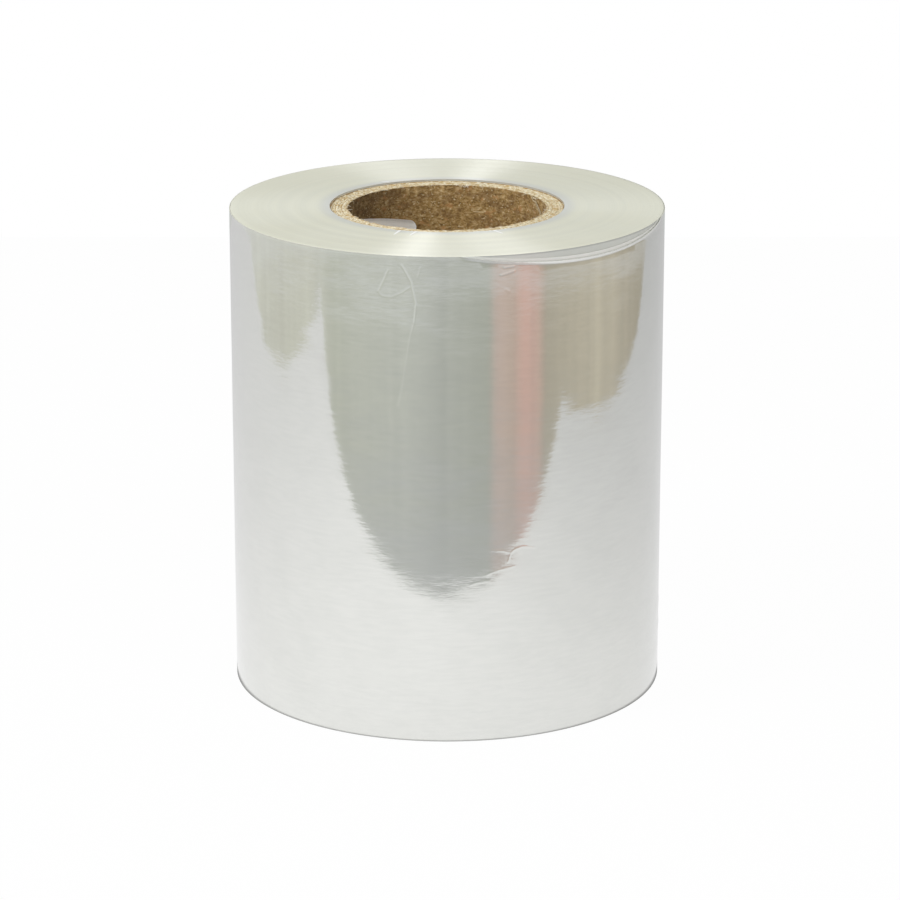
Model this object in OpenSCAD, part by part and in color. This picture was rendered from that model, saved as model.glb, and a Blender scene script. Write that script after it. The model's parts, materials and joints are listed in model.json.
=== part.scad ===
// Roll of clear lidding film, wound on a spiral paper core and standing on one end.
// Millimetres. Z is the roll's axis, the base is at z = 0, and the front faces -Y.
// Angles around the roll are counted from the front, turning towards +X.

/* [Core] */
// Bore of the paper core, the 3 inch size that film machines take
core_bore_d = 76.2; // [50:0.1:110]
// Thickness of the core's wall
core_wall = 7; // [4:0.5:12]
// How far each end of the core lies inside the end of the film
core_recess = 0.5; // [0.1:0.1:3]
// Number of paper plies that show in the end of the core's wall
core_plies = 6; // [2:1:10]
// Width of the gap that the cut leaves between two plies
ply_gap_w = 0.2; // [0.1:0.05:0.3]
// Depth of that gap
ply_gap_depth = 0.4; // [0.1:0.1:1]

/* [Wound film] */
// Width of the film web, which is the distance between the ends of the roll
film_w = 188; // [120:1:400]
// Outer diameter of the full roll, at the film's loose end
roll_d = 168; // [145:1:400]
// Number of bands of turns that show on the ends of the roll
band_count = 10; // [1:1:20]
// How far every second band was wound to the side
band_shift = 0.15; // [0.05:0.05:1]
// Height of the step where the film's loose end lies on the turn below
tail_step = 0.2; // [0.05:0.05:1]
// Where the loose end lies around the roll, at the back
tail_angle = 205; // [90:5:270]

/* [Slack outer turns] */
// Radial thickness of each pack of slack turns
slack_turn_t = 0.3; // [0.15:0.05:1]
// Number of slack packs, each of which slid further down than the one inside it
slack_count = 2; // [1:1:4]
// How far the upper edge of the outermost pack dips below the end of the roll
slack_dip = 4.5; // [0.5:0.5:12]
// Where the edge dips deepest around the roll, at the right of the front
slack_angle = 40; // [0:5:90]
// How far the outermost dip reaches to each side of its deepest point, in degrees
slack_reach = 37; // [25:1:80]
// How much less far it reaches in each pack further in, in degrees
slack_narrowing = 3; // [1:1:5]

/* [Label in the core] */
// Width of the label, measured around the bore
label_w = 50; // [20:1:70]
// Height of the label
label_h = 30; // [15:1:60]
// Thickness of the label's paper
label_t = 0.12; // [0.05:0.01:0.2]
// Thickness of the glue between the label and the wall
label_glue_t = 0.03; // [0.01:0.01:0.05]
// Radius of the label's corners
label_corner_r = 3; // [1:0.5:6]
// How far the middle of the label's upper edge lies below the end of the core
label_drop = 9.8; // [8:0.2:20]
// Where the middle of the label lies around the bore
label_angle = -121; // [-170:1:170]
// How far the label was stuck on out of level, in degrees
label_tilt = 9.5; // [-10:0.5:10]

/* [Hidden] */
$fn = 180;

// Extra length that lets a cut run clear through what it cuts
cut_clear = 1;

bore_r = core_bore_d / 2;
core_r = bore_r + core_wall;
core_length = film_w - 2 * core_recess;
ply_pitch = core_wall / core_plies;

roll_r = roll_d / 2;
tail_r = roll_r - tail_step;
slack_r = tail_r - slack_count * slack_turn_t;
band_w = (slack_r - core_r) / band_count;

label_r = bore_r - label_glue_t;
// Straight distance between the label's two side edges, across the bore
label_chord = 2 * label_r * sin(label_w / 2 / label_r * 180 / PI);

// Turns a child that points along +X towards an angle counted from the front
module facing(angle) {
    rotate([0, 0, angle - 90]) children();
}

// A straight tube that stands on z = 0
module tube(outer_r, inner_r, height) {
    difference() {
        cylinder(r = outer_r, h = height);
        translate([0, 0, -cut_clear])
            cylinder(r = inner_r, h = height + 2 * cut_clear);
    }
}

// The gaps between the plies, cut into the end of a core that stops at z = 0
module ply_gaps() {
    for (i = [1 : core_plies - 1])
        translate([0, 0, -ply_gap_depth])
            tube(bore_r + i * ply_pitch + ply_gap_w / 2,
                 bore_r + i * ply_pitch - ply_gap_w / 2,
                 ply_gap_depth + cut_clear);
}

// The paper tube that the film is wound on
module core() {
    color("tan")
        translate([0, 0, core_recess])
            difference() {
                tube(core_r, bore_r, core_length);
                translate([0, 0, core_length]) ply_gaps();
                mirror([0, 0, 1]) ply_gaps();
            }
}

// The tight turns, in bands of which every second one was wound a little to the side
module wound_bands() {
    for (i = [0 : band_count - 1])
        translate([0, 0, (i % 2) * band_shift])
            tube(core_r + (i + 1) * band_w, core_r + i * band_w, film_w);
}

// The space above the skewed edge of a slack pack. The edge lies in a plane that dips below
// the end of the roll by the given depth and meets it again at the reach to each side.
module above_skewed_edge(dip, reach) {
    rise = dip / (1 - cos(reach));
    size = 4 * roll_d;
    facing(slack_angle)
        translate([0, 0, film_w + rise - dip])
            rotate([0, atan(rise / roll_r), 0])
                translate([-size / 2, -size / 2, 0])
                    cube([size, size, size]);
}

// Outline of the outermost pack: two half discs that meet smoothly on one side and leave
// the step of the film's loose end on the other, which points along +X
module tail_outline() {
    size = 2 * roll_d;
    intersection() {
        circle(r = tail_r);
        translate([-size / 2, 0]) square([size, size / 2]);
    }
    intersection() {
        translate([tail_step / 2, 0]) circle(r = tail_r + tail_step / 2);
        translate([-size / 2, -size / 2]) square([size, size / 2]);
    }
}

// One pack of slack turns, counted from the inside
module slack_pack(i) {
    inner_r = slack_r + i * slack_turn_t;
    difference() {
        if (i == slack_count - 1)
            facing(tail_angle) linear_extrude(height = film_w) tail_outline();
        else
            cylinder(r = inner_r + slack_turn_t, h = film_w);
        translate([0, 0, -cut_clear])
            cylinder(r = inner_r, h = film_w + 2 * cut_clear);
        above_skewed_edge(slack_dip * (i + 2) / (slack_count + 1),
                          slack_reach - (slack_count - 1 - i) * slack_narrowing);
    }
}

// The film, wound in one length from the core to its loose end
module film() {
    color([0.88, 0.89, 0.85]) {
        wound_bands();
        for (i = [0 : slack_count - 1]) slack_pack(i);
    }
}

// Flat outline of the label, with round corners
module label_outline() {
    inner_w = label_chord - 2 * label_corner_r;
    inner_h = label_h - 2 * label_corner_r;
    square([inner_w, label_h], center = true);
    square([label_chord, inner_h], center = true);
    for (x = [-1, 1], y = [-1, 1])
        translate([x * inner_w / 2, y * inner_h / 2]) circle(r = label_corner_r);
}

// The paper label, glued to the wall of the bore
module core_label() {
    color("white")
        translate([0, 0, core_recess + core_length - label_drop - label_h / 2])
            facing(label_angle)
                intersection() {
                    translate([0, 0, -label_h])
                        tube(label_r, label_r - label_t, 2 * label_h);
                    rotate([90, 0, 90])
                        linear_extrude(height = bore_r + cut_clear)
                            rotate(label_tilt) label_outline();
                }
}

core();
film();
core_label();
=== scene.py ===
# Roll of clear lidding film on a paper core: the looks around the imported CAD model.
# Metres. The roll's axis is Z, and the front faces -Y. Angles around the roll are in degrees
# from the front, turning towards +X, as in the CAD source.
import json
import math
import random

import bpy
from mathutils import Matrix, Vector, noise


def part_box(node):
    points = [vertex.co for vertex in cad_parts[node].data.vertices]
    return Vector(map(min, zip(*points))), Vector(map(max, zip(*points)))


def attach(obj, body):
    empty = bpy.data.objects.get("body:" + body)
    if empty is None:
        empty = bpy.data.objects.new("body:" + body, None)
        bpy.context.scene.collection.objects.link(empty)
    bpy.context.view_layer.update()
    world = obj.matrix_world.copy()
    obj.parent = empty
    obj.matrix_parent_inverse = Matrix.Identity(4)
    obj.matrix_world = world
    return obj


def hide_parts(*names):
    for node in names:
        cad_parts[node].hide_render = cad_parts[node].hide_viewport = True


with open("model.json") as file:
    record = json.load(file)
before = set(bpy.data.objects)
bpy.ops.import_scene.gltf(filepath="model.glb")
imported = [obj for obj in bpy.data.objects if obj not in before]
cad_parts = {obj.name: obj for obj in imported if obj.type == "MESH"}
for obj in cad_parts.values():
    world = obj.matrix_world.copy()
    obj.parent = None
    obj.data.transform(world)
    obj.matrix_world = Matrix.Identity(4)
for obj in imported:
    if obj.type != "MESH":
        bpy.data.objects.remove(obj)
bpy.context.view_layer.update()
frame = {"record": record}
millimetre = 0.001
weldDistance = millimetre / 1000

coreLow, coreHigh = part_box("core")
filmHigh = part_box("film")[1]
boreRadius = frame["record"]["mounts"][0]["dims"]["r_mm"] * millimetre
coreRadius = coreHigh.x
rollTop = 188 * millimetre          # the end of the lowest bands and of the slack turns
print("frame loaded: roll", round(filmHigh.z, 4), "m high")


def aroundRoll(angle, radius, height=0.0):
    turn = math.radians(angle)
    return Vector((radius * math.sin(turn), -radius * math.cos(turn), height))


def angleOf(place):
    return math.degrees(math.atan2(place.x, -place.y))


def pushOut(place, distance):
    # moves a place away from the roll's axis
    place.xy = place.xy * (1 + distance / place.xy.length)


def editMode():
    bpy.ops.object.mode_set(mode="EDIT")


def objectMode():
    if bpy.context.mode != "OBJECT":
        bpy.ops.object.mode_set(mode="OBJECT")


def selectWhole():
    bpy.ops.mesh.select_all(action="SELECT")


def deselectAll():
    objectMode()
    bpy.ops.object.select_all(action="DESELECT")


def selectWhere(parts, kind, test):
    # picks the vertices or faces that pass the test, and ends in edit mode
    objectMode()
    editMode()
    bpy.ops.mesh.select_mode(type=kind)
    bpy.ops.mesh.select_all(action="DESELECT")
    objectMode()
    for part in parts:
        part.select = test(part)
    editMode()


def startPoint(name, place):
    # one vertex to draw a profile from
    deselectAll()
    bpy.ops.mesh.primitive_plane_add(size=millimetre, location=place)
    piece = bpy.context.object
    piece.name = name
    piece.data.name = name
    editMode()
    bpy.ops.mesh.select_mode(type="VERT")
    selectWhole()
    bpy.ops.mesh.merge(type="CENTER")
    return piece


def drawOn(step):
    bpy.ops.mesh.extrude_region_move(TRANSFORM_OT_translate={"value": step})


def activate(piece):
    deselectAll()
    piece.select_set(True)
    bpy.context.view_layer.objects.active = piece


def placeInMesh(piece):
    activate(piece)
    bpy.ops.object.transform_apply(location=True, rotation=True, scale=True)


def applyModifiers(piece):
    activate(piece)
    for modifier in list(piece.modifiers):
        bpy.ops.object.modifier_apply(modifier=modifier.name)


def smooth(piece, angle=None):
    activate(piece)
    if angle is None:
        bpy.ops.object.shade_smooth()
    else:
        bpy.ops.object.shade_smooth_by_angle(angle=math.radians(angle))


def turnedSolid(name, profile, steps):
    # a closed outline in half a section, spun once round the axis
    piece = startPoint(name, (profile[0][0], 0, profile[0][1]))
    for (r0, z0), (r1, z1) in zip(profile, profile[1:] + profile[:1]):
        drawOn((r1 - r0, 0, z1 - z0))
    selectWhole()
    bpy.ops.mesh.remove_doubles(threshold=weldDistance)
    selectWhole()
    bpy.ops.mesh.spin(steps=steps, angle=2 * math.pi, center=(0, 0, 0), axis=(0, 0, -1),
                      use_auto_merge=True)
    selectWhole()
    bpy.ops.mesh.remove_doubles(threshold=weldDistance)
    bpy.ops.mesh.normals_make_consistent(inside=False)
    placeInMesh(piece)
    return piece


def giveLooks(piece, sideways, upright, steepness):
    # one look for the walls, another for the faces that look up or down
    piece.data.materials.append(sideways)
    piece.data.materials.append(upright)
    for face in piece.data.polygons:
        face.material_index = 1 if abs(face.normal.z) > steepness else 0


def faceOutwards(piece, outwards):
    # outwards is the sign of the direction that the first face should have from the axis
    first = piece.data.polygons[0]
    if first.normal.dot(first.center * Vector((1, 1, 0))) * outwards < 0:
        piece.data.flip_normals()


def addToFrame(piece, slot, *nodesReplaced):
    placeInMesh(piece)
    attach(piece, "root")
    for node in nodesReplaced:
        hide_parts(node)


# The camera stands where the photo was taken from.
photoCamera = {
    "lens": 149.18,
    "sensor": 36,
    "clipStart": 0.05,
    "distance": 1.3991,        # from the roll's axis, along the floor
    "height": 0.5118,
    "tiltDown": 16.789,
    "turn": -0.047,
}


def addCamera():
    deselectAll()
    tilt = math.radians(90 - photoCamera["tiltDown"])
    bpy.ops.object.camera_add(
        location=(0, -photoCamera["distance"], photoCamera["height"]),
        rotation=(tilt, 0, math.radians(photoCamera["turn"])))
    camera = bpy.context.object
    camera.name = "photo_camera"
    camera.data.sensor_width = photoCamera["sensor"]
    camera.data.lens = photoCamera["lens"]
    camera.data.clip_start = photoCamera["clipStart"]
    bpy.context.scene.camera = camera


addCamera()
print("camera placed")


class Nodes:
    # a short hand for building the nodes of one material, or of the world
    def __init__(self, name, world=False):
        self.owner = bpy.data.worlds.new(name) if world else bpy.data.materials.new(name)
        self.owner.use_nodes = True
        self.tree = self.owner.node_tree
        self.tree.nodes.clear()
        self.output = self.add("ShaderNodeOutputWorld" if world else "ShaderNodeOutputMaterial")

    def add(self, kind, settings=None, **inputs):
        made = self.tree.nodes.new(kind)
        for key, value in (settings or {}).items():
            setattr(made, key, value)
        for key, value in inputs.items():
            self.feed(made.inputs[key.replace("_", " ")], value)
        return made

    def feed(self, socket, value):
        if isinstance(value, bpy.types.NodeSocket):
            self.tree.links.new(value, socket)
        elif socket.type == "RGBA" and len(value) == 3:
            socket.default_value = (*value, 1)
        else:
            socket.default_value = value

    def math(self, operation, *values):
        made = self.tree.nodes.new("ShaderNodeMath")
        made.operation = operation
        for socket, value in zip(made.inputs, values):
            self.feed(socket, value)
        return made.outputs[0]

    def range(self, value, start, stop, low=0.0, high=1.0, smooth=True):
        made = self.tree.nodes.new("ShaderNodeMapRange")
        if smooth:
            made.interpolation_type = "SMOOTHSTEP"
        for socket, number in zip(made.inputs, (value, start, stop, low, high)):
            self.feed(socket, number)
        return made.outputs["Result"]

    def ramp(self, value, *stops):
        made = self.tree.nodes.new("ShaderNodeValToRGB")
        while len(made.color_ramp.elements) < len(stops):
            made.color_ramp.elements.new(0.5)
        for element, (place, colour) in zip(made.color_ramp.elements, stops):
            element.position = place
            element.color = (*colour, 1)
        self.feed(made.inputs["Fac"], value)
        return made.outputs["Color"]

    def mix(self, factor, first, second, blend="MIX"):
        made = self.tree.nodes.new("ShaderNodeMix")
        made.data_type = "RGBA"
        made.blend_type = blend
        self.feed(made.inputs["Factor"], factor)
        self.feed(made.inputs[6], first)
        self.feed(made.inputs[7], second)
        return made.outputs[2]

    def shade(self, colour, darker):
        return self.mix(1.0, colour, darker, "MULTIPLY")

    def away(self, first, second):
        return self.math("ABSOLUTE", self.math("SUBTRACT", first, second))

    def place(self, scale=(1, 1, 1)):
        # object coordinates, stretched
        coordinates = self.add("ShaderNodeTexCoord")
        mapping = self.add("ShaderNodeMapping", Vector=coordinates.outputs["Object"], Scale=scale)
        return mapping.outputs["Vector"]

    def split(self, vector):
        made = self.add("ShaderNodeSeparateXYZ", Vector=vector)
        return made.outputs["X"], made.outputs["Y"], made.outputs["Z"]

    def fromAxis(self):
        # the direction away from the roll's axis, and the distance
        flat = self.add("ShaderNodeVectorMath", {"operation": "MULTIPLY"})
        self.feed(flat.inputs[0], self.place())
        flat.inputs[1].default_value = (1, 1, 0)
        length = self.add("ShaderNodeVectorMath", {"operation": "LENGTH"})
        self.feed(length.inputs[0], flat.outputs["Vector"])
        return flat.outputs["Vector"], length.outputs["Value"]

    def angle(self):
        # degrees around the roll from the front, turning towards +X
        x, y, z = self.split(self.place())
        turn = self.math("ARCTAN2", x, self.math("MULTIPLY", y, -1.0))
        return self.math("MULTIPLY", turn, 180 / math.pi), z

    def noise(self, vector, scale, detail=3.0, roughness=0.5):
        made = self.add("ShaderNodeTexNoise", Vector=vector, Scale=scale, Detail=detail,
                        Roughness=roughness)
        return made.outputs["Fac"]

    def lineNoise(self, value, scale, detail=3.0, roughness=0.5):
        made = self.add("ShaderNodeTexNoise", {"noise_dimensions": "1D"}, W=value, Scale=scale,
                        Detail=detail, Roughness=roughness)
        return made.outputs["Fac"]

    def bump(self, height, distance, normal=None):
        made = self.add("ShaderNodeBump", Height=height, Distance=distance, Strength=1.0)
        if normal is not None:
            self.feed(made.inputs["Normal"], normal)
        return made.outputs["Normal"]

    def mixShaders(self, factor, first, second):
        made = self.add("ShaderNodeMixShader", Fac=factor)
        self.feed(made.inputs[1], first.outputs[0])
        self.feed(made.inputs[2], second.outputs[0])
        return made

    def surface(self, shader):
        self.feed(self.output.inputs["Surface"], shader.outputs[0])
        return self.owner

    def principled(self, **inputs):
        return self.surface(self.add("ShaderNodeBsdfPrincipled", **inputs))


# The film's side, where it is tight on the outside, slack, and bare below the slack edges. Many
# clear turns together reflect like a pale mirror.
filmSides = {
    "clear_film_side": {"roughness": 0.075, "metallic": 0.78, "colour": (0.80, 0.805, 0.775)},
    "clear_film_slack": {"roughness": 0.32, "metallic": 0.35, "colour": (0.90, 0.92, 0.89)},
    "clear_film_tight": {"roughness": 0.34, "metallic": 0.25, "colour": (0.72, 0.74, 0.71),
                         "rimShade": 0.72},
}

# What the sides have in common. Each bump has its stretch, scale, detail, roughness and height.
filmFinish = {
    "waves": ((1, 1, 1.6), 24, 2.0, 0.5, 2.2e-4),
    "ripples": ((1, 1, 4.5), 150, 4.0, 0.6, 1.3e-5),      # these run around the roll
    "dimples": ((1, 1, 1.5), 260, 2.0, 0.5, 1.2e-5),
    "grain": ((1, 1, 3), 620, 2.0, 0.5, 2.0e-6),
    "smudgeScale": 60,
    "smudgeShade": 0.975,
    "smudgeHaze": 0.07,         # how far the roughness differs from place to place
    "dashScale": 130,
    "dashStretch": (1, 1, 6),
    "dashShade": (0.975, 0.976, 0.978),
    "creasedWhiteAndHighlight": (0.97, 0.97, 0.94),
    "creasedHaze": 0.08,
    "rimShadeStart": 0.9 * millimetre,      # below the end of the roll
    "rimShadeFull": 0.2 * millimetre,
    "index": 1.5,
    "coatRoughness": 0.03,
}

filmEnd = {
    "colour": (0.77, 0.775, 0.65),
    "nearCore": (0.665, 0.68, 0.64),
    "nearCoreReach": (0.3 * millimetre, 6 * millimetre),
    "roughness": 0.38,
    "anisotropy": 1.0,
    "specular": 0.8,
    "turnHeight": 1.5e-5,
    "turnScale": 2600,
    "bandScale": 260,
    "cloudScale": 45,
    "turnShade": (0.965, 0.965, 0.955),
    "bandShade": (0.975, 0.978, 0.985),
    "cloudShade": (0.985, 0.98, 0.965),
}

# the torn bits are pale white: partly the haze of crinkled film, partly a painted highlight for
# their glints
filmBits = {
    "dull": (0.95, 0.955, 0.94),
    "pale": (0.99, 0.99, 0.985),
    "scale": 900,
    "roughness": 0.55,
    "specular": 0.3,
}


def filmSideMaterial(name):
    look = Nodes(name)
    side = filmSides[name]
    pale = side["colour"]
    rimShade = side.get("rimShade", 1)
    normal = None
    for kind in ("waves", "ripples", "dimples", "grain"):
        stretch, scale, detail, rough, height = filmFinish[kind]
        relief = look.noise(look.place(stretch), scale, detail, rough)
        normal = look.bump(relief, height, normal)
    smudge = look.noise(look.place(), filmFinish["smudgeScale"], 4.0)
    dashes = look.noise(look.place(filmFinish["dashStretch"]), filmFinish["dashScale"], 4.0, 0.65)
    crease = look.add("ShaderNodeAttribute", {"attribute_name": "crease"}).outputs["Fac"]
    spread = filmFinish["smudgeHaze"]
    haze = look.math("MULTIPLY_ADD", smudge, spread, side["roughness"] - spread / 2)
    haze = look.math("MULTIPLY_ADD", crease, filmFinish["creasedHaze"], haze)
    colour = look.mix(look.range(smudge, 0.35, 0.75), pale,
                      [filmFinish["smudgeShade"] * part for part in pale])
    dashed = look.ramp(dashes, (0.38, filmFinish["dashShade"]), (0.6, (1, 1, 1)))
    colour = look.shade(colour, dashed)
    # creases and loose edges are paler: stress whitening and a painted highlight
    colour = look.mix(crease, colour, filmFinish["creasedWhiteAndHighlight"])
    if rimShade < 1:
        # darker just below the end, in the shade of the slack turns
        z = look.split(look.place())[2]
        shaded = look.range(z, rollTop - filmFinish["rimShadeStart"],
                            rollTop - filmFinish["rimShadeFull"])
        colour = look.mix(shaded, colour, look.shade(colour, (rimShade,) * 3))
    return look.principled(
        Base_Color=colour, Metallic=side["metallic"], Roughness=haze,
        Normal=normal, IOR=filmFinish["index"], Coat_Weight=1.0,
        Coat_Roughness=filmFinish["coatRoughness"], Coat_IOR=filmFinish["index"])


def filmEndMaterial():
    look = Nodes("clear_film_end")
    outward, radius = look.fromAxis()
    turns = look.lineNoise(radius, filmEnd["turnScale"], 4.0, 0.65)
    bands = look.lineNoise(radius, filmEnd["bandScale"], 2.0)
    cloud = look.noise(look.place(), filmEnd["cloudScale"], 3.0)
    normal = look.bump(turns, filmEnd["turnHeight"])
    fromCore = look.math("SUBTRACT", radius, coreRadius)
    colour = look.mix(look.range(fromCore, *filmEnd["nearCoreReach"]), filmEnd["nearCore"],
                      filmEnd["colour"])
    for value, low, shade in ((bands, 0.35, filmEnd["bandShade"]),
                              (turns, 0.35, filmEnd["turnShade"]),
                              (cloud, 0.4, filmEnd["cloudShade"])):
        colour = look.shade(colour, look.ramp(value, (low, shade), (low + 0.25, (1, 1, 1))))
    return look.principled(
        Base_Color=colour, Roughness=filmEnd["roughness"], Anisotropic=filmEnd["anisotropy"],
        Tangent=outward, Normal=normal, IOR=filmFinish["index"],
        Specular_IOR_Level=filmEnd["specular"])


def filmChipMaterial():
    look = Nodes("torn_film")
    cloud = look.noise(look.place(), filmBits["scale"], 2.0)
    # pale white, partly a painted highlight for the glints of the torn bits
    colour = look.ramp(cloud, (0.35, filmBits["dull"]), (0.65, filmBits["pale"]))
    return look.principled(Base_Color=colour, Roughness=filmBits["roughness"],
                           Specular_IOR_Level=filmBits["specular"])


coreFinish = {
    "cutDark": (0.30, 0.16, 0.05),
    "cutMiddle": (0.72, 0.59, 0.33),
    "cutPale": (0.96, 0.92, 0.76),
    # painted shade along the outer edge, where the core's end meets the taller film
    "cutOutline": (0.36, 0.21, 0.07),
    "cutBlotch": (0.56, 0.37, 0.14),
    "cutPlyLine": (0.50, 0.33, 0.13),
    "cutRelief": 6.0e-4,
    "cutRoughness": 0.85,
    "outlineStart": 0.9 * millimetre,     # inside the core's outer edge
    "outlineFull": 0.3 * millimetre,
    "boreDark": (0.075, 0.04, 0.015),
    "boreMiddle": (0.385, 0.243, 0.09),
    "borePale": (0.72, 0.55, 0.31),
    "boreBlotch": (0.20, 0.115, 0.05),
    "boreRust": (0.52, 0.27, 0.11),
    "boreSpeck": (0.80, 0.67, 0.42),
    "boreFleck": (0.78, 0.62, 0.38),
    "boreRelief": 3.0e-4,
    "boreRoughness": 0.9,
    "borePaintedShade": (0.48, 0.48, 0.50),      # painted shade along one side of the bore, the side that the key light does not reach
    "borePaintedShadeAngle": -108,
    "borePaintedShadeReach": (8, 62),
    "seamStart": 120.5,         # where the seam of the inmost ply meets the upper end
    "seamLead": 157 * millimetre,
    "seamWidth": 0.45 * millimetre,
    "seamFray": 0.8,
    "fibreDull": (0.72, 0.57, 0.36),
    "fibrePale": (0.95, 0.89, 0.74),
    "fibreRoughness": 0.8,
}

# The spiral seam: pale torn edges, each with a dark line beside it that is painted shadow.
# Each line's place in widths to the side, its strength and its colour
seamLines = ((0.0, 1.0, (0.92, 0.82, 0.58)), (1.9, 0.9, (0.06, 0.035, 0.02)),
             (-3.6, 0.8, (0.85, 0.74, 0.50)), (-2.0, 0.6, (0.10, 0.06, 0.03)))

# Pale marks on the wall of the bore: angle, height, half width in degrees, half height in mm
boreFlecks = ((161, 176.9, 4.0, 0.35), (139, 183.0, 1.6, 0.3), (-160, 181.0, 1.4, 0.25),
              (172, 170.5, 2.0, 0.3), (60, 120.0, 3.0, 0.4), (-40, 60.0, 2.5, 0.4))


def coreCutMaterial():
    look = Nodes("core_cut_end")
    radius = look.fromAxis()[1]
    fibres = look.noise(look.place(), 700, 5.0, 0.78)
    blotch = look.noise(look.place(), 230, 3.0, 0.6)
    plies = look.lineNoise(radius, 1100, 2.0)
    colour = look.ramp(fibres, (0.35, coreFinish["cutDark"]), (0.45, coreFinish["cutMiddle"]),
                       (0.59, coreFinish["cutPale"]))
    colour = look.mix(look.range(blotch, 0.5, 0.66, 0.0, 0.65), colour, coreFinish["cutBlotch"])
    colour = look.mix(look.range(plies, 0.52, 0.60, 0.0, 0.45), colour, coreFinish["cutPlyLine"])
    # painted shade: darker along the outer edge, in the corner below the film's end
    rim = look.range(radius, coreRadius - coreFinish["outlineStart"],
                     coreRadius - coreFinish["outlineFull"])
    rim = look.math("MULTIPLY", rim, look.range(blotch, 0.38, 0.5, 0.25, 0.85))
    colour = look.mix(rim, colour, coreFinish["cutOutline"])
    return look.principled(Base_Color=colour, Roughness=coreFinish["cutRoughness"],
                           Normal=look.bump(fibres, coreFinish["cutRelief"]),
                           Specular_IOR_Level=0.25)


def coreBoreMaterial():
    look = Nodes("core_bore_kraft")
    fibres = look.noise(look.place((1, 1, 1.8)), 560, 6.0, 0.78)
    blotch = look.noise(look.place((1, 1, 1.5)), 150, 4.0, 0.65)
    specks = look.noise(look.place((1, 1, 1.4)), 1100, 1.0)
    rust = look.noise(look.place((1.2, 1.2, 1.6)), 210, 2.0)
    colour = look.ramp(fibres, (0.32, coreFinish["boreDark"]), (0.5, coreFinish["boreMiddle"]),
                       (0.70, coreFinish["borePale"]))
    for marks, low, high, strength, tint in ((blotch, 0.46, 0.62, 0.6, "boreBlotch"),
                                             (rust, 0.6, 0.70, 0.5, "boreRust"),
                                             (specks, 0.64, 0.72, 0.75, "boreSpeck")):
        colour = look.mix(look.range(marks, low, high, 0.0, strength), colour, coreFinish[tint])
    angle, z = look.angle()
    # painted shade: the side of the bore away from the key light is darkened
    fromPaintedShade = look.math("ABSOLUTE", look.math(
        "WRAP", look.math("SUBTRACT", angle, coreFinish["borePaintedShadeAngle"]), 180, -180))
    shade = look.range(fromPaintedShade, *coreFinish["borePaintedShadeReach"], 1.0, 0.0)
    colour = look.mix(shade, colour, look.shade(colour, coreFinish["borePaintedShade"]))
    for place, height, halfWidth, halfHeight in boreFlecks:
        aside = look.away(angle, place)
        above = look.away(z, height * millimetre)
        fleck = look.math("MULTIPLY", look.range(aside, halfWidth * 0.6, halfWidth, 0.8, 0.0),
                          look.range(above, 0.0, halfHeight * millimetre, 1.0, 0.0))
        colour = look.mix(fleck, colour, coreFinish["boreFleck"])
    down = look.math("SUBTRACT", coreHigh.z, z)
    turned = look.math("MULTIPLY", down, 360 / coreFinish["seamLead"])
    offset = look.math("ADD", look.math("SUBTRACT", angle, coreFinish["seamStart"]), turned)
    frayed = look.math("MULTIPLY_ADD", look.noise(look.place(), 500, 2.0),
                       coreFinish["seamFray"], offset)
    around = look.math("WRAP", frayed, 180, -180)
    wide = math.degrees(coreFinish["seamWidth"] / boreRadius)
    # the dark lines are painted shadow beside the pale edges
    for shift, share, edgeColour in seamLines:
        aside = look.away(around, -wide * shift)
        colour = look.mix(look.range(aside, wide * 0.35, wide, share, 0.0), colour, edgeColour)
    return look.principled(Base_Color=colour, Roughness=coreFinish["boreRoughness"],
                           Normal=look.bump(fibres, coreFinish["boreRelief"]),
                           Specular_IOR_Level=0.2)


def fibreMaterial():
    look = Nodes("paper_fibre")
    tint = look.noise(look.place(), 900, 2.0)
    colour = look.ramp(tint, (0.35, coreFinish["fibreDull"]), (0.65, coreFinish["fibrePale"]))
    return look.principled(Base_Color=colour, Roughness=coreFinish["fibreRoughness"])


labelFinish = {
    "dull": (0.95, 0.945, 0.90),
    "pale": (0.99, 0.985, 0.94),
    "worn": (0.86, 0.86, 0.84),
    # the edge colour is a painted highlight along the lifted edges
    "edge": (0.99, 0.99, 0.99),
    "roughness": 0.32,
    "relief": 1e-5,
}


def labelMaterial():
    look = Nodes("label_paper")
    fibres = look.noise(look.place(), 1600, 3.0)
    wear = look.noise(look.place(), 150, 2.0)
    lifted = look.add("ShaderNodeAttribute", {"attribute_name": "lifted"}).outputs["Fac"]
    colour = look.ramp(fibres, (0.3, labelFinish["dull"]), (0.7, labelFinish["pale"]))
    colour = look.mix(look.range(wear, 0.45, 0.7, 0.0, 0.2), colour, labelFinish["worn"])
    # painted highlight: the lifted edges are painted whiter
    colour = look.mix(lifted, colour, labelFinish["edge"])
    return look.principled(Base_Color=colour, Roughness=labelFinish["roughness"],
                           Normal=look.bump(fibres, labelFinish["relief"]))


sideLook = filmSideMaterial("clear_film_side")
slackLook = filmSideMaterial("clear_film_slack")
tightLook = filmSideMaterial("clear_film_tight")
endLook = filmEndMaterial()
chipLook = filmChipMaterial()
cutLook = coreCutMaterial()
boreLook = coreBoreMaterial()
fibreLook = fibreMaterial()
labelLook = labelMaterial()
print("materials made")


# The tight turns of film, all but the slack ones on the outside
tightTurns = {
    "radius": 83.2 * millimetre,
    "bands": 10,
    "shift": 0.06 * millimetre,
    "sway": 0.02 * millimetre,
    "rounding": 0.1 * millimetre,
    "proud": 0.03 * millimetre,          # how far the upper end stands above the slack turns
    "sideRows": (0.98, 0.96, 0.9, 0.6, 0.3),
    "steps": 360,
    "seed": 5,
}


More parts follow.
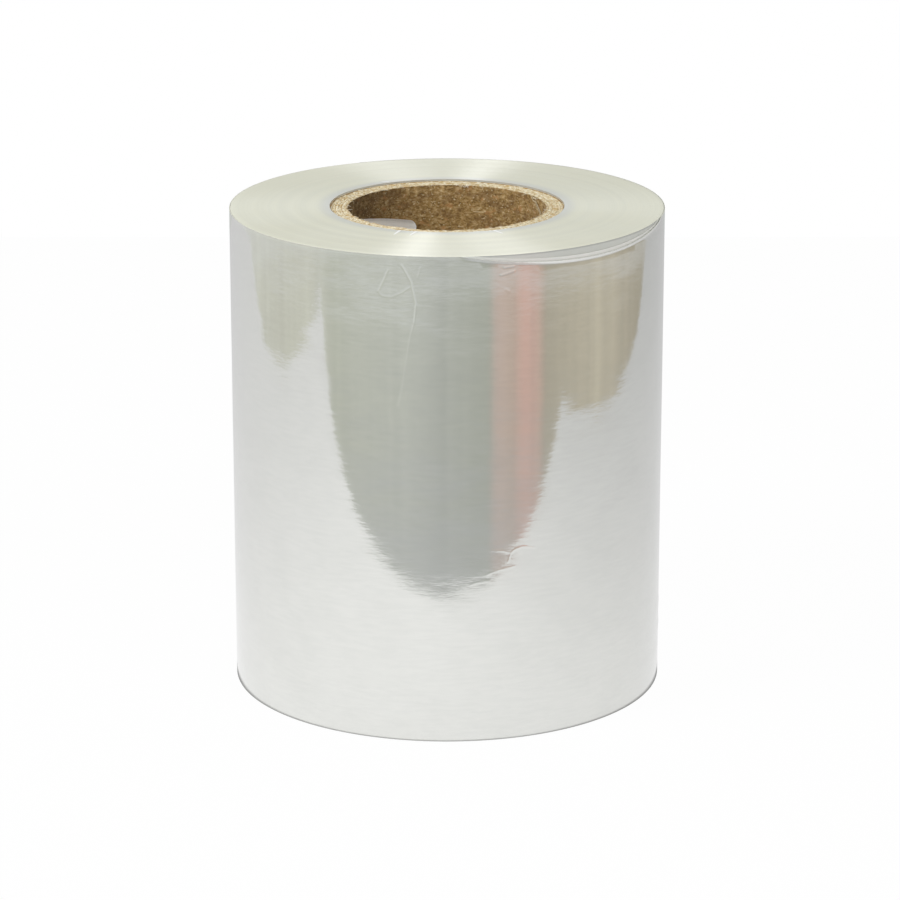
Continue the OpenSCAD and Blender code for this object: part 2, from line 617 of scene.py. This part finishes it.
def tightProfile():
    # the outline from the hole's upper edge round to its lower one
    draw = random.Random(tightTurns["seed"])
    radiusOut = tightTurns["radius"]
    width = (radiusOut - coreRadius) / tightTurns["bands"]
    top = rollTop + tightTurns["proud"]
    upper, lower = [], []
    for band in range(tightTurns["bands"]):
        shift = (band % 2) * tightTurns["shift"]
        for share in (0.0, 0.25, 0.5, 0.75):
            radius = coreRadius + (band + share) * width
            sway = draw.uniform(-1, 1) * tightTurns["sway"]
            upper.append((radius, top + shift + sway))
            lower.append((radius, tightTurns["shift"] - shift + abs(sway)))
    lower[0] = (lower[0][0], 0.0)
    edge = tightTurns["rounding"]
    upper += [(radiusOut - edge, top), (radiusOut - 0.3 * edge, top - 0.3 * edge)]
    lower += [(radiusOut - edge, 0.0), (radiusOut - 0.3 * edge, 0.3 * edge)]
    side = [(radiusOut, top - edge)]
    side += [(radiusOut, rollTop * share) for share in tightTurns["sideRows"]]
    side += [(radiusOut, edge)]
    return upper + side + lower[::-1]


def buildTightTurns():
    piece = turnedSolid("tight_turns", tightProfile(), tightTurns["steps"])
    giveLooks(piece, tightLook, endLook, 0.5)
    smooth(piece, 40)
    addToFrame(piece, "clear_film", "film")


# The slack outer turns: two thin packs whose upper edges dip at the right of the front
slackTurns = {
    "radii": (83.38 * millimetre, 83.58 * millimetre),
    "thickness": 0.15 * millimetre,
    "dipAngle": 40,
    "dips": (3.0 * millimetre, 4.5 * millimetre),
    "reaches": (34, 37),
    "rows": 80,
    "steps": 360,
    "lipRows": 3,                    # rows of faces in the stretched edge
    "lipRow": 0.4 * millimetre,
    "lipFlares": (0.12 * millimetre, 0.19 * millimetre),    # how far the edges lean outwards
    "lipHighlight": (0.12, 1.0),         # how white the edge is painted where it lies tight, and in the dip: a painted highlight for the glint of the loose edges
    "lipBlend": 0.9 * millimetre,    # depth of the dip at which the lip is fully flared
    "startAngle": 180,
    "tailStep": 0.2 * millimetre,
    "tailAngle": 205,
    "wobble": 0.07 * millimetre,
    "wobbleSize": 0.022,
    "creaseCuts": 6,                 # how finely the faces near the creases are cut
    "creaseMargin": 1.2 * millimetre,
}

# Creases in the outermost turn: points as (angle, height in mm), then height, half width and
# how far the film has turned white there, partly stress whitening and partly painted highlight
sideCreases = (
    (((-11.4, 184.5), (-10.8, 183.2), (-9.0, 178.4), (-8.3, 173.2), (-7.8, 169.9), (-8.3, 163)),
     0.04, 0.6, 0.55),
    (((-8.3, 163), (-9.3, 158.1), (-10.0, 152.0), (-10.9, 143.6), (-11.7, 136.6), (-12.5, 131.0)),
     0.014, 0.5, 0.25),
    (((-14.9, 182.5), (-15.9, 179.0), (-17.5, 174.3)), 0.022, 0.6, 0.3),
    (((-17.5, 174.3), (-16.6, 172.6), (-14.1, 172.4), (-11.6, 174.1), (-9.3, 176.4)),
     0.016, 0.5, 0.2),
    (((-6.6, 184), (-7.4, 180)), 0.012, 0.5, 0.2),
    (((11.3, 75.2), (14.4, 74.8), (16.5, 73.8)), 0.010, 0.6, 0.1),
    (((16.5, 73.8), (17.9, 75.2), (19.8, 75.8), (23.1, 74.7)), 0.017, 0.65, 0.25),
    (((16.5, 73.8), (15.8, 70.3)), 0.012, 0.6, 0.1),
    (((10.5, 66.2), (13.6, 67.5), (17.4, 68.4)), 0.008, 0.7, 0.05),
    (((5.9, 62.2), (8.4, 63.2), (10.9, 63.5)), 0.006, 0.7, 0.05),
    (((14.4, 183.5), (17.0, 183.8)), 0.06, 0.6, 0.9),
    (((13.6, 180.7), (17.0, 182.0)), 0.06, 0.6, 0.9),
    (((14.9, 175.3), (15.7, 174.5)), 0.03, 0.7, 0.4),
    (((65.7, 39.0), (65.3, 27.3), (67.9, 15.7)), 0.022, 0.5, 0.0),
)

# Where the loose turn stands off the roll near the base: angle, height, half sizes, depth in mm
sideBulges = ((82, 30.0, 9, 4.0, 0.2), (84, 21.0, 8, 3.0, 0.22), (80, 13.0, 8, 3.0, 0.2))


def skewedTop(pack):
    # the plane that a pack's upper edge lies in, as a point and a normal
    dip = slackTurns["dips"][pack]
    rise = dip / (1 - math.cos(math.radians(slackTurns["reaches"][pack])))
    tilt = math.atan2(rise, filmHigh.y)
    side = aroundRoll(slackTurns["dipAngle"], math.sin(tilt))
    lip = slackTurns["lipRows"] * slackTurns["lipRow"]
    point = Vector((0, 0, rollTop + rise - dip - lip))
    return point, Vector((side.x, side.y, math.cos(tilt))), rollTop - lip


def drawWall(name, radius, angle):
    # one upright line of rows, where the turn begins
    piece = startPoint(name, aroundRoll(angle, radius))
    for row in range(slackTurns["rows"]):
        drawOn((0, 0, rollTop / slackTurns["rows"]))
    selectWhole()
    return piece


def spinAllRound():
    bpy.ops.mesh.spin(steps=slackTurns["steps"], angle=2 * math.pi, center=(0, 0, 0),
                      axis=(0, 0, -1), use_auto_merge=True)


def spinToLooseEnd(angle):
    # two half turns, the second one off centre by half the step of the loose end
    half = slackTurns["steps"] // 2
    bpy.ops.mesh.spin(steps=half, angle=math.pi, center=(0, 0, 0), axis=(0, 0, -1))
    centre = aroundRoll(angle, slackTurns["tailStep"] / 2)
    bpy.ops.mesh.spin(steps=half, angle=math.pi, center=centre, axis=(0, 0, -1))


def trimTop(piece, pack):
    point, normal, flatTop = skewedTop(pack)
    for place, upwards in (((0, 0, flatTop), (0, 0, 1)), (point, normal)):
        selectWhole()
        bpy.ops.mesh.bisect(plane_co=place, plane_no=upwards, clear_outer=True,
                            threshold=weldDistance)
    objectMode()
    near = millimetre / 100

    def onEdge(vertex):
        onFlat = abs(vertex.co.z - flatTop) < near
        return onFlat or abs((vertex.co - point).dot(normal)) < near

    selectWhere(piece.data.vertices, "VERT", onEdge)
    for row in range(slackTurns["lipRows"]):
        drawOn((0, 0, slackTurns["lipRow"]))
    objectMode()

    # in the dip the stretched edge leans outwards, and its whitish colour is a painted highlight
    # for the glint it catches
    worn = piece.data.attributes.new("crease", "FLOAT", "POINT")
    lipHeight = slackTurns["lipRows"] * slackTurns["lipRow"]
    tightHighlight, dipHighlight = slackTurns["lipHighlight"]
    for vertex in piece.data.vertices:
        place = vertex.co
        slope = normal.x * (place.x - point.x) + normal.y * (place.y - point.y)
        dipped = point.z - slope / normal.z
        above = place.z - min(flatTop, dipped)
        if above > near:
            blend = max(0.0, min(1.0, (flatTop - dipped) / slackTurns["lipBlend"]))
            flare = slackTurns["lipFlares"][pack] * blend * (above / lipHeight) ** 1.5
            pushOut(place, flare)
            worn.data[vertex.index].value = tightHighlight + blend * (dipHighlight - tightHighlight)
    editMode()


def onWall(place, radius):
    # a place on the wall as if the wall lay flat
    return Vector((math.radians(angleOf(place)) * radius, place.z))


def distanceToLine(here, line):
    nearest = 1.0
    for start, stop in zip(line, line[1:]):
        along = stop - start
        share = max(0.0, min(1.0, (here - start).dot(along) / along.length_squared))
        nearest = min(nearest, (here - start - along * share).length)
    return nearest


def isAround(here, line, margin):
    inReach = min(p.x for p in line) - margin < here.x < max(p.x for p in line) + margin
    return inReach and min(p.y for p in line) - margin < here.y < max(p.y for p in line) + margin


def creaseWall(piece, radius):
    # the faces near the creases are cut small, then each crease is raised in them
    lines = []
    for points, height, halfWidth, whiteAndHighlight in sideCreases:
        line = [Vector((math.radians(angle) * radius, z * millimetre)) for angle, z in points]
        lines.append((line, height * millimetre, halfWidth * millimetre, whiteAndHighlight))

    def nearCrease(face):
        here = onWall(face.center, radius)
        for line, height, reach, whiteAndHighlight in lines:
            margin = reach + slackTurns["creaseMargin"]
            if isAround(here, line, margin) and distanceToLine(here, line) < margin:
                return True
        return False

    selectWhere(piece.data.polygons, "FACE", nearCrease)
    bpy.ops.mesh.subdivide(number_cuts=slackTurns["creaseCuts"])
    objectMode()
    worn = piece.data.attributes["crease"].data
    for vertex in piece.data.vertices:
        here = onWall(vertex.co, radius)
        rise = 0.0
        for line, height, reach, whiteAndHighlight in lines:
            if not isAround(here, line, reach):
                continue
            share = max(0.0, 1 - distanceToLine(here, line) / reach)
            rise = max(rise, height * share * share * (3 - 2 * share))
            # stretched film turns whitish along a crease; part of the white is a painted highlight
            # for the light the ridge catches
            worn[vertex.index].value = max(worn[vertex.index].value, whiteAndHighlight * share)
        if rise > 0:
            pushOut(vertex.co, rise)


def bulgeWall(piece):
    for angle, height, halfAngle, halfHeight, depth in sideBulges:
        for vertex in piece.data.vertices:
            aside = (angleOf(vertex.co) - angle) / halfAngle
            above = (vertex.co.z - height * millimetre) / (halfHeight * millimetre)
            far = aside * aside + above * above
            if far < 1:
                outwards = Vector((vertex.co.x, vertex.co.y, 0)).normalized()
                vertex.co += outwards * depth * millimetre * (1 - far) ** 2


def wobbleWall(piece):
    clouds = bpy.data.textures.new("film_wobble", "CLOUDS")
    clouds.noise_scale = slackTurns["wobbleSize"]
    clouds.noise_depth = 1
    displace = piece.modifiers.new("wobble", "DISPLACE")
    displace.texture = clouds
    displace.strength = slackTurns["wobble"]
    displace.mid_level = 0.5
    applyModifiers(piece)


def buildSlackTurn(name, pack, angle):
    outermost = pack == len(slackTurns["radii"]) - 1
    radius = slackTurns["radii"][pack]
    piece = drawWall(name, radius, angle)
    if outermost:
        spinToLooseEnd(angle)
    else:
        spinAllRound()
    selectWhole()
    bpy.ops.mesh.remove_doubles(threshold=millimetre / 200)
    placeInMesh(piece)
    editMode()
    trimTop(piece, pack)
    selectWhole()
    bpy.ops.mesh.normals_make_consistent(inside=False)
    deselectAll()
    faceOutwards(piece, 1)
    wobbleWall(piece)
    if outermost:
        bulgeWall(piece)
        creaseWall(piece, radius)
    wall = piece.modifiers.new("thickness", "SOLIDIFY")
    wall.thickness = slackTurns["thickness"]
    wall.offset = -1
    applyModifiers(piece)
    giveLooks(piece, sideLook if outermost else slackLook, endLook, 0.6)
    smooth(piece, 50)
    addToFrame(piece, "clear_film", "film")


buildTightTurns()
buildSlackTurn("slack_turn_inner", 0, slackTurns["startAngle"])
buildSlackTurn("slack_turn_outer", 1, slackTurns["tailAngle"])
print("film made")


# The paper core: plies whose cut ends show as rings, with a ragged inner edge
coreTube = {
    "plies": 6,
    "gap": 0.22 * millimetre,
    "gapDepth": 0.4 * millimetre,
    "boreRows": 46,
    "steps": 480,
    "raggedDepth": 0.9 * millimetre,
    "raggedSize": 0.0015,
    "raggedMiddle": 0.72,
    "raggedBelow": 0.6 * millimetre,       # how far down the saw moved the plies
    "firmOutside": 0.2 * millimetre,       # the outer face stays round
    "biteDepth": 0.55 * millimetre,
    "biteSize": 1.3 * millimetre,
    "biteFine": 0.4 * millimetre,
    "biteReach": (0.6 * millimetre, 0.7 * millimetre),     # from the bore, and from the end
    "sway": 0.15 * millimetre,
    "crown": 0.1 * millimetre,
    "seed": 11,
}


def coreProfile():
    draw = random.Random(coreTube["seed"])
    ply = (coreRadius - boreRadius) / coreTube["plies"]
    halfGap = coreTube["gap"] / 2
    upper, lower = [], []
    for i in range(coreTube["plies"]):
        start = boreRadius + i * ply + (halfGap if i else 0)
        stop = boreRadius + (i + 1) * ply - (halfGap if i < coreTube["plies"] - 1 else 0)
        sway = draw.uniform(0.0, 1.0) * coreTube["sway"]
        for share in (0, 0.33, 0.67, 1):
            radius = start + share * (stop - start)
            crown = coreTube["crown"] if share in (0, 1) else 0
            upper.append((radius, coreHigh.z - sway - crown))
            lower.append((radius, coreLow.z + sway + crown))
        if i < coreTube["plies"] - 1:
            upper.append((stop + halfGap, coreHigh.z - coreTube["gapDepth"]))
            lower.append((stop + halfGap, coreLow.z + coreTube["gapDepth"]))
    outside = [(coreRadius, coreHigh.z / 2)]
    rows = coreTube["boreRows"]
    span = upper[0][1] - lower[0][1]
    wall = [(boreRadius, lower[0][1] + span * row / rows) for row in range(1, rows)]
    return upper + outside + lower[::-1] + wall


def fromNearEnd(place):
    return min(coreHigh.z - place.z, place.z - coreLow.z)


def chewInnerRim(piece):
    # small bites out of the inmost ply, where the saw tore the paper
    depth = coreTube["biteDepth"]
    reachIn, reachDown = coreTube["biteReach"]
    for vertex in piece.data.vertices:
        place = vertex.co
        fromBore = place.xy.length - boreRadius
        if fromBore < reachIn and fromNearEnd(place) < reachDown:
            bite = noise.noise(place * (1 / coreTube["biteSize"]))
            bite += 0.6 * noise.noise(place * (1 / coreTube["biteFine"]))
            bite = max(-0.25, min(1.0, bite * 1.6))
            pushOut(place, depth * bite)
            place.z += math.copysign(0.5 * depth * max(bite, 0), coreHigh.z / 2 - place.z)


def buildCore():
    piece = turnedSolid("core_tube", coreProfile(), coreTube["steps"])
    giveLooks(piece, boreLook, cutLook, 0.3)
    # the saw left the plies ragged: their ends are pushed about by a fine texture
    ends = piece.vertex_groups.new(name="cut_ends")
    for vertex in piece.data.vertices:
        inside = vertex.co.xy.length < coreRadius - coreTube["firmOutside"]
        if fromNearEnd(vertex.co) < coreTube["raggedBelow"] and inside:
            ends.add([vertex.index], 1.0, "REPLACE")
    ragged = bpy.data.textures.new("ragged_cut", "CLOUDS")
    ragged.noise_scale = coreTube["raggedSize"]
    ragged.noise_depth = 3
    displace = piece.modifiers.new("ragged", "DISPLACE")
    displace.texture = ragged
    displace.vertex_group = "cut_ends"
    displace.strength = coreTube["raggedDepth"]
    displace.mid_level = coreTube["raggedMiddle"]
    applyModifiers(piece)
    chewInnerRim(piece)
    smooth(piece, 60)
    addToFrame(piece, "core_board", "core")


buildCore()
print("core made")

# The label in the bore: paper glued to the wall, whose edges have come a little loose
labelSheet = {
    "width": 50 * millimetre,
    "height": 30 * millimetre,
    "corner": 3 * millimetre,
    "columns": 80,
    "rows": 48,
    "drop": 9.8 * millimetre,       # from the end of the core to the middle of the upper edge
    "angle": -121,
    "tilt": 9.5,
    "thickness": 0.1 * millimetre,
    "offWall": 0.12 * millimetre,
    "curl": 0.5 * millimetre,
    "curlWidth": 1.6 * millimetre,
}


def roundedEdge(across, up):
    # moves a point of the square grid onto the outline with round corners
    halfWidth = labelSheet["width"] / 2 - labelSheet["corner"]
    halfHeight = labelSheet["height"] / 2 - labelSheet["corner"]
    corner = Vector((max(abs(across) - halfWidth, 0), max(abs(up) - halfHeight, 0)))
    if corner.x > 0 and corner.y > 0:
        longest = max(corner.x, corner.y)
        corner = corner * (longest / corner.length)
    return (math.copysign(min(abs(across), halfWidth) + corner.x, across),
            math.copysign(min(abs(up), halfHeight) + corner.y, up))


def buildLabel():
    deselectAll()
    bpy.ops.mesh.primitive_grid_add(x_subdivisions=labelSheet["columns"],
                                    y_subdivisions=labelSheet["rows"], size=1)
    piece = bpy.context.object
    piece.name = "bore_label"
    bpy.ops.transform.resize(value=(labelSheet["width"], labelSheet["height"], 1))
    placeInMesh(piece)
    lifted = piece.data.attributes.new("lifted", "FLOAT", "POINT")
    tilt = math.radians(labelSheet["tilt"])
    middle = coreHigh.z - labelSheet["drop"] - labelSheet["height"] / 2
    for vertex in piece.data.vertices:
        across, up = roundedEdge(vertex.co.x, vertex.co.y)
        fromEdge = min(labelSheet["width"] / 2 - abs(across), labelSheet["height"] / 2 - abs(up))
        loose = max(0.0, 1 - fromEdge / labelSheet["curlWidth"]) ** 2
        radius = boreRadius - labelSheet["offWall"] - labelSheet["curl"] * loose
        turned = Vector((across * math.cos(tilt) - up * math.sin(tilt),
                         across * math.sin(tilt) + up * math.cos(tilt)))
        angle = labelSheet["angle"] + math.degrees(turned.x / boreRadius)
        vertex.co = aroundRoll(angle, radius, middle + turned.y)
        lifted.data[vertex.index].value = loose
    sheet = piece.modifiers.new("paper", "SOLIDIFY")
    sheet.thickness = labelSheet["thickness"]
    sheet.offset = -1
    faceOutwards(piece, -1)
    applyModifiers(piece)
    piece.data.materials.append(labelLook)
    smooth(piece, 50)
    addToFrame(piece, "label_paper", "core_label")


buildLabel()
print("label made")


def bentSliver(name, sides, radius, length, bend):
    # a thin closed strand along Z that bends to one side and thins out
    deselectAll()
    bpy.ops.mesh.primitive_circle_add(vertices=sides, radius=radius, fill_type="NGON")
    piece = bpy.context.object
    piece.name = name
    editMode()
    bpy.ops.mesh.select_mode(type="VERT")
    selectWhole()
    side = 0.0
    for share in (0.25, 0.5, 0.75, 1.0):
        drawOn((bend * share, 0, length / 4))
        side += bend * share
        bpy.ops.transform.resize(value=(0.85, 0.85, 1), center_override=(side, 0, length * share))
    selectWhole()
    bpy.ops.mesh.normals_make_consistent(inside=False)
    objectMode()
    return piece


def copyTo(model, place, heading, size):
    activate(model)
    bpy.ops.object.duplicate(linked=False)
    made = bpy.context.object
    turn = heading.to_track_quat("Z", "Y")
    made.rotation_euler = turn.to_euler()
    made.location = place
    made.scale = size
    return made


def joinAll(name, pieces):
    deselectAll()
    for piece in pieces:
        piece.select_set(True)
    bpy.context.view_layer.objects.active = pieces[0]
    bpy.ops.object.join()
    made = bpy.context.object
    made.name = name
    made.data.name = name
    return made


# Loose paper fibres along the sawn rim of the core, with a tuft of them at the back
rimFibres = {
    "count": 80,
    "radius": 0.085 * millimetre,
    "length": 1.6 * millimetre,
    "bend": 0.16 * millimetre,
    "fromBore": (0.1, 0.7),          # in mm
    "belowEnd": (0.15, 0.5),         # in mm
    "lean": 1.6,
    "rise": (-0.35, 0.12),
    "stretch": (0.5, 1.2),
    "tuftAngle": 169.5,
    "tuftSpread": 1.6,
    "tuftCount": 12,
    "tuftLean": 0.5,
    "tuftRise": (-0.9, 0.1),
    "tuftThickness": 1.6,
    "seed": 23,
}


def buildRimFibres():
    draw = random.Random(rimFibres["seed"])
    model = bentSliver("fibre", 4, rimFibres["radius"], rimFibres["length"], rimFibres["bend"])
    pieces = []
    for i in range(rimFibres["count"] + rimFibres["tuftCount"]):
        inTuft = i >= rimFibres["count"]
        angle = draw.uniform(-180, 180)
        if inTuft:
            spread = rimFibres["tuftSpread"]
            angle = rimFibres["tuftAngle"] + draw.uniform(-spread, spread)
        radius = boreRadius + draw.uniform(*rimFibres["fromBore"]) * millimetre
        below = draw.uniform(*rimFibres["belowEnd"]) * millimetre
        start = aroundRoll(angle, radius, coreHigh.z - below)
        inwards = aroundRoll(angle, -1)
        along = aroundRoll(angle + 90, 1)
        mostLean = rimFibres["tuftLean" if inTuft else "lean"]
        lean = draw.uniform(-mostLean, mostLean)
        rise = draw.uniform(*rimFibres["tuftRise" if inTuft else "rise"])
        heading = inwards * draw.uniform(0.5, 1.0) + along * lean + Vector((0, 0, rise))
        thick = rimFibres["tuftThickness"] if inTuft else 1.0
        stretch = draw.uniform(*rimFibres["stretch"])
        pieces.append(copyTo(model, start, heading, (thick, thick, stretch)))
    bpy.data.objects.remove(model)
    piece = joinAll("rim_fibres", pieces)
    piece.data.materials.append(fibreLook)
    smooth(piece)
    addToFrame(piece, "core_board")


# Small torn bits of film that stick to the end beside the core: angle, radius and length in mm,
# and how far each is turned away from the radius
filmChips = {
    "places": ((-22.5, 45.7, 7.0, 3), (-14.5, 45.6, 6.2, -8), (22.5, 45.7, 6.0, 10),
               (-150.0, 45.9, 3.0, 40)),
    "halfWidth": 0.6 * millimetre,
    "flatness": 0.035,               # thickness, as a share of the width
    "bend": 0.05 * millimetre,
    "height": 0.124 * millimetre,    # above the lowest bands, so that none sinks into a higher one
}


def buildFilmChips():
    model = bentSliver("chip", 6, filmChips["halfWidth"], millimetre, filmChips["bend"])
    for vertex in model.data.vertices:
        vertex.co.y *= filmChips["flatness"]
    pieces = []
    for angle, radius, length, turned in filmChips["places"]:
        start = aroundRoll(angle, radius * millimetre, rollTop + filmChips["height"])
        heading = aroundRoll(angle + turned, 1)
        pieces.append(copyTo(model, start, heading, (1, 1, length)))
    bpy.data.objects.remove(model)
    piece = joinAll("torn_film_bits", pieces)
    piece.data.materials.append(chipLook)
    addToFrame(piece, "clear_film")


buildRimFibres()
buildFilmChips()
print("fibres and torn bits made")


# The stage: a white table top in a grey room, which the film mirrors
stageSet = {
    "tableWhite": 0.86,
    "tableSeen": 0.975,          # how much of the table's white the camera sees as background
    # a painted pool of light in the table's glow, which the film mirrors
    "poolCentre": (-0.04, -0.18),
    "poolRadius": 0.4,
    "poolEdge": 0.50,            # brightness far from the pool of light on the table
    "poolSlope": -0.11,
    "tableThickness": 10 * millimetre,
    "tableMirrored": 0.9,        # share of the table's glow, with its painted pool of light, in what the film sees
    "contact": 1.7 * millimetre,  # width of the painted contact shadow in the table's glow, where the roll meets the table
    "contactShade": 0.3,
    "worldLight": 0.46,
    "keyPlace": (-1.25, -0.70, 1.25),
    "keySize": 0.7,
    "keyPower": 18.0,
    "fillPlace": (1.0, -1.1, 1.35),
    "fillPower": 9.5,
    "glintSize": 0.35,
    "glintBehind": 0.95,
    "glintHeight": 1.84,
    "glints": (("glint_left", -0.17, 0.10, 9.5), ("glint_right", 0.30, 0.45, 9.5)),
    "roomRadius": 3.0,
    "roomHeight": 4.2,
    "roomMiddle": 0.3,
    "roomBand": (0.88, 0.88, 0.88),
    "roomFloor": (0.43, 0.445, 0.46),
    "roomPale": (0.66, 0.68, 0.71),
    "floorHeight": (-0.66, -1.0),        # where the floor's tint starts, and where it is full
    "paleHeight": (-0.585, -0.53),
    "brighterHeight": (-0.75, -0.50),
}

# The table's outline decides where the film mirrors the room in place of the table
tableOutline = ((-0.66, -0.30), (-0.40, -0.262), (0.0, -0.257), (0.45, -0.28), (0.50, 0.02),
                (0.56, 0.25), (0.66, 0.45), (0.62, 0.73), (-0.62, 0.73), (-0.68, 0.40),
                (-0.57, 0.15), (-0.56, -0.02))

# What the film mirrors of the room: turned away from the camera's side, colour
roomTints = (
    (-180, (0.42, 0.43, 0.40)),
    (-125, (0.56, 0.56, 0.48)),
    (-75, (0.57, 0.57, 0.47)),
    (-60, (0.46, 0.48, 0.39)),
    (-50, (0.50, 0.52, 0.44)),
    (-17, (0.50, 0.52, 0.46)),
    (-5, (0.42, 0.44, 0.39)),
    (21, (0.38, 0.40, 0.33)),
    (26, (0.56, 0.42, 0.35)),
    (34, (0.55, 0.40, 0.31)),
    (40, (0.68, 0.40, 0.32)),
    (47, (0.60, 0.38, 0.30)),
    (53, (0.42, 0.37, 0.265)),
    (86, (0.55, 0.49, 0.36)),
    (110, (0.42, 0.37, 0.27)),
    (122, (0.34, 0.30, 0.21)),
    (135, (0.42, 0.41, 0.37)),
    (180, (0.42, 0.43, 0.40)),
)


def tableMaterial():
    # white paper, which the camera sees as bright as the background; the film sees a glow with a
    # painted pool of light and a painted contact shadow
    look = Nodes("white_table")
    paper = look.add("ShaderNodeBsdfDiffuse", Color=(stageSet["tableWhite"],) * 3)
    rays = look.add("ShaderNodeLightPath")
    white = look.add("ShaderNodeEmission", Color=(1, 1, 1), Strength=1.0)
    x, y = look.split(look.place())[:2]
    dx = look.math("SUBTRACT", x, stageSet["poolCentre"][0])
    dy = look.math("SUBTRACT", y, stageSet["poolCentre"][1])
    square = look.math("ADD", look.math("MULTIPLY", dx, dx), look.math("MULTIPLY", dy, dy))
    falloff = look.math("MULTIPLY_ADD", square, 1 / stageSet["poolRadius"] ** 2, 1.0)
    pool = look.math("MULTIPLY_ADD", look.math("DIVIDE", 1.0, falloff),
                     1.0 - stageSet["poolEdge"], stageSet["poolEdge"])
    pool = look.math("MULTIPLY_ADD", x, stageSet["poolSlope"], pool)
    # painted contact shadow: the glow is darker next to the roll's foot
    radius = look.fromAxis()[1]
    contact = look.range(radius, filmHigh.x, filmHigh.x + stageSet["contact"],
                         stageSet["contactShade"], 1.0)
    pool = look.math("MULTIPLY", pool, contact)
    mirrored = look.add("ShaderNodeEmission", Color=(1, 1, 1), Strength=pool)
    byCamera = look.math("MULTIPLY", rays.outputs["Is Camera Ray"], stageSet["tableSeen"])
    byGloss = look.math("MULTIPLY", rays.outputs["Is Glossy Ray"], stageSet["tableMirrored"])
    seen = look.mixShaders(byCamera, paper, white)
    return look.surface(look.mixShaders(byGloss, seen, mirrored))


def addTable():
    table = startPoint("table_top", (*tableOutline[0], 0))
    for (x0, y0), (x1, y1) in zip(tableOutline, tableOutline[1:]):
        drawOn((x1 - x0, y1 - y0, 0))
    selectWhole()
    bpy.ops.mesh.edge_face_add()
    placeInMesh(table)
    if table.data.polygons[0].normal.z < 0:
        table.data.flip_normals()
    board = table.modifiers.new("thickness", "SOLIDIFY")
    board.thickness = stageSet["tableThickness"]
    board.offset = -1
    applyModifiers(table)
    table.data.materials.append(tableMaterial())


def roomMaterial():
    look = Nodes("grey_room")
    angle, z = look.angle()
    along = look.range(angle, -180, 180, smooth=False)
    stops = [((tint[0] + 180) / 360, tint[1]) for tint in roomTints]
    colour = look.ramp(along, *stops)
    # soft upright bands, and a greyer floor further down
    bands = look.lineNoise(angle, 0.16, 3.0, 0.6)
    colour = look.shade(colour, look.ramp(bands, (0.3, stageSet["roomBand"]), (0.7, (1, 1, 1))))
    for height, strength, tint in (("floorHeight", 0.7, "roomFloor"),
                                   ("paleHeight", 0.35, "roomPale")):
        part = look.range(z, *stageSet[height], 0.0, strength)
        colour = look.mix(part, colour, stageSet[tint])
    brighter = look.range(z, *stageSet["brighterHeight"], 1.0, 1.12)
    return look.surface(look.add("ShaderNodeEmission", Color=colour, Strength=brighter))


def showOnlyInGloss(card):
    card.visible_camera = False
    card.visible_diffuse = False
    card.visible_transmission = False
    card.visible_shadow = False


def addRoom():
    deselectAll()
    bpy.ops.mesh.primitive_cylinder_add(vertices=96, radius=stageSet["roomRadius"],
                                        depth=stageSet["roomHeight"],
                                        location=(0, 0, stageSet["roomMiddle"]))
    room = bpy.context.object
    room.name = "grey_room"
    selectWhere(room.data.polygons, "FACE", lambda face: face.normal.z > 0.5)
    bpy.ops.mesh.delete(type="FACE")
    placeInMesh(room)
    room.data.materials.append(roomMaterial())
    showOnlyInGloss(room)


def setWorld():
    # white where it is seen or mirrored, and dimmer as a light
    look = Nodes("studio", world=True)
    rays = look.add("ShaderNodeLightPath")
    seen = 0.0
    for kind in ("Is Camera Ray", "Is Glossy Ray", "Is Transmission Ray"):
        seen = look.math("MAXIMUM", seen, rays.outputs[kind])
    strength = look.range(seen, 0.0, 1.0, stageSet["worldLight"], 1.0, smooth=False)
    background = look.add("ShaderNodeBackground", Color=(1, 1, 1), Strength=strength)
    bpy.context.scene.world = look.surface(background)


def addAreaLight(name, place, size, power, width=None):
    deselectAll()
    bpy.ops.object.light_add(type="AREA", location=place)
    light = bpy.context.object
    light.name = name
    aim = Vector((0, 0, rollTop)) - Vector(place)
    light.rotation_euler = aim.to_track_quat("-Z", "Y").to_euler()
    light.data.energy = power
    light.data.size = size
    if width:
        light.data.shape = "RECTANGLE"
        light.data.size = width
        light.data.size_y = size
    light.visible_camera = False
    return light


def addGlint(name, x, width, power):
    # shows only as a wedge of sheen on the end of the roll
    place = (x, stageSet["glintBehind"], stageSet["glintHeight"])
    light = addAreaLight(name, place, stageSet["glintSize"], power, width)
    light.visible_diffuse = False


def addLights():
    key = addAreaLight("key_light", stageSet["keyPlace"], stageSet["keySize"], stageSet["keyPower"])
    key.visible_glossy = False
    fill = addAreaLight("fill_light", stageSet["fillPlace"], stageSet["keySize"],
                        stageSet["fillPower"])
    fill.visible_glossy = False
    for glint in stageSet["glints"]:
        addGlint(*glint)


addTable()
addRoom()
setWorld()
addLights()
bpy.context.scene.view_settings.view_transform = "Standard"
print("stage and light set")
